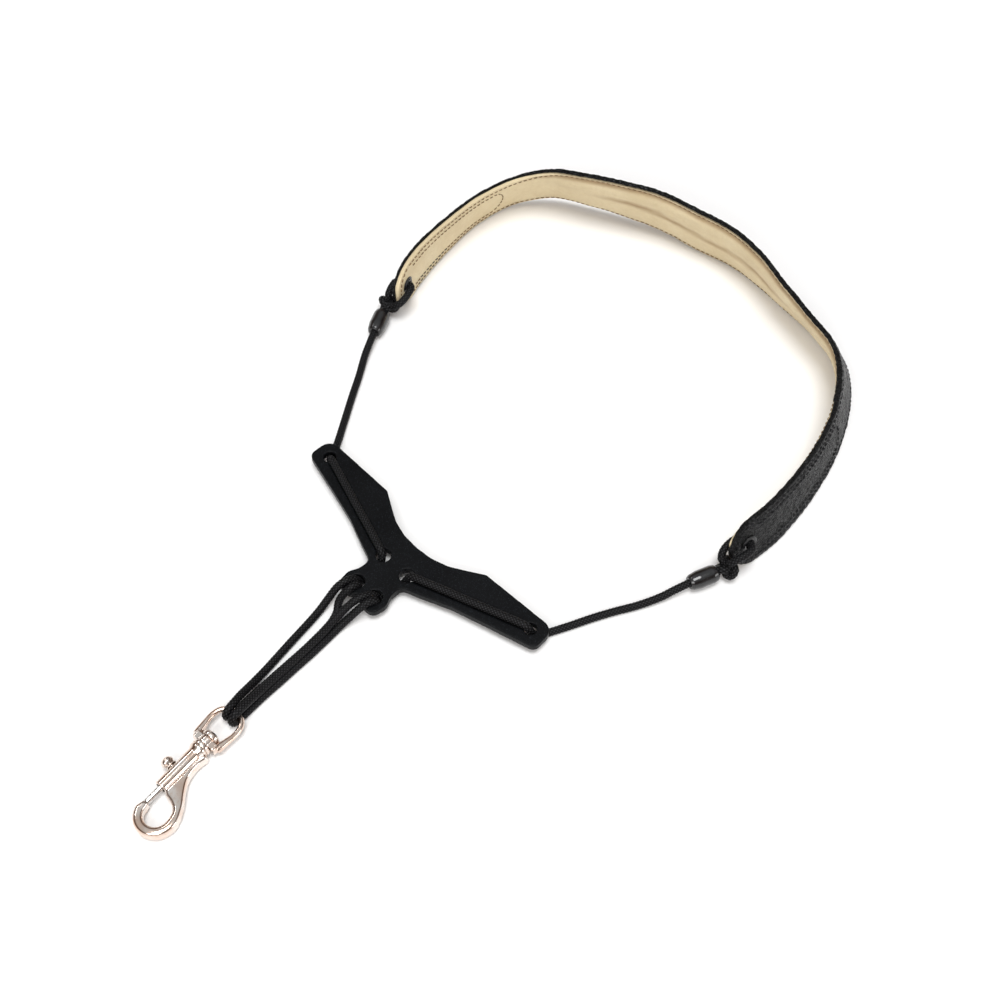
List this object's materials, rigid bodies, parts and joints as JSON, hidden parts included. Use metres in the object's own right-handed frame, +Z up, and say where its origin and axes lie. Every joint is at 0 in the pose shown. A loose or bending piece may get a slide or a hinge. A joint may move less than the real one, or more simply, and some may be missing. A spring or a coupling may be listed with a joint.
{
  "type": "saxophone neck strap",
  "caption": "Instrument neck strap: padded leather band, two cords, a V-shaped slide plate and a swivel snap hook.",
  "frame": {"origin": "centre of the strap's box, on the table that it is laid on", "axes": "+Y from the snap hook to the neck band along the plate's axis, +Z up from the table, +X to the right wing"},
  "size_m": [0.2201, 0.3738, 0.0332],
  "materials": {
    "black_leather": "pebbled",
    "beige_leather": "smooth matt",
    "foam": "matt",
    "webbing": "woven",
    "eyelet_metal": "gloss",
    "braided_cord": "braided",
    "bead_plastic": "gloss",
    "plate_plastic": "grained",
    "polished_nickel": "polished",
    "bolt_steel": "satin"
  },
  "bodies": {
    "pad": {"pad_outer": "black_leather", "pad_lining": "beige_leather", "pad_foam": "foam", "end_tape_left": "webbing", "end_tape_right": "webbing", "eyelet_left": "eyelet_metal", "eyelet_right": "eyelet_metal", "eyelet_washer_left": "eyelet_metal", "eyelet_washer_right": "eyelet_metal", "eyelet_cord_left": "braided_cord", "eyelet_cord_right": "braided_cord", "knot_left": "braided_cord", "knot_right": "braided_cord", "side_cord_left": "braided_cord", "side_cord_right": "braided_cord"},
    "bead_left": {"bead_left": "bead_plastic"},
    "bead_right": {"bead_right": "bead_plastic"},
    "plate": {"v_plate": "plate_plastic", "wing_cord_left": "braided_cord", "wing_cord_right": "braided_cord", "hook_cord_left": "braided_cord", "hook_cord_right": "braided_cord"},
    "stirrup": {"stirrup": "polished_nickel"},
    "hook": {"hook_body": "polished_nickel", "swivel_rivet": "polished_nickel", "swivel_collar": "polished_nickel", "bolt_spring": "bolt_steel"},
    "bolt": {"bolt_rod": "bolt_steel", "thumb_stud": "polished_nickel"}
  },
  "joints": [
    {"name": "plate_slide", "type": "slide", "parent": "pad", "child": "plate", "axis": [0, -1, 0], "range_m": [-0.035, 0.08], "deforming": ["side_cord_left", "side_cord_right"]},
    {"name": "hook_slide", "type": "slide", "parent": "plate", "child": "stirrup", "axis": [0.09, -0.9959, 0], "range_m": [-0.04, 0.02], "deforming": ["hook_cord_left", "hook_cord_right"]},
    {"name": "bead_left_slide", "type": "slide", "parent": "pad", "child": "bead_left", "axis": [0.4699, -0.8827, 0], "range_m": [0, 0.012]},
    {"name": "bead_right_slide", "type": "slide", "parent": "pad", "child": "bead_right", "axis": [-0.3499, -0.9368, 0], "range_m": [0, 0.012]},
    {"name": "hook_swivel", "type": "hinge", "parent": "stirrup", "child": "hook", "pos_m": [0.0154, -0.1461, 0.0043], "axis": [0.1097, -0.994, 0], "continuous": true},
    {"name": "bolt_slide", "type": "slide", "parent": "hook", "child": "bolt", "axis": [-0.1097, 0.994, 0], "range_m": [0, 0.0065], "stiffness_N_per_m": 300, "springref_m": -0.0035, "deforming": ["bolt_spring"]}
  ],
  "couplings": [
    {"joint": "hook_slide", "follows": "plate_slide", "ratio": -0.45}
  ]
}
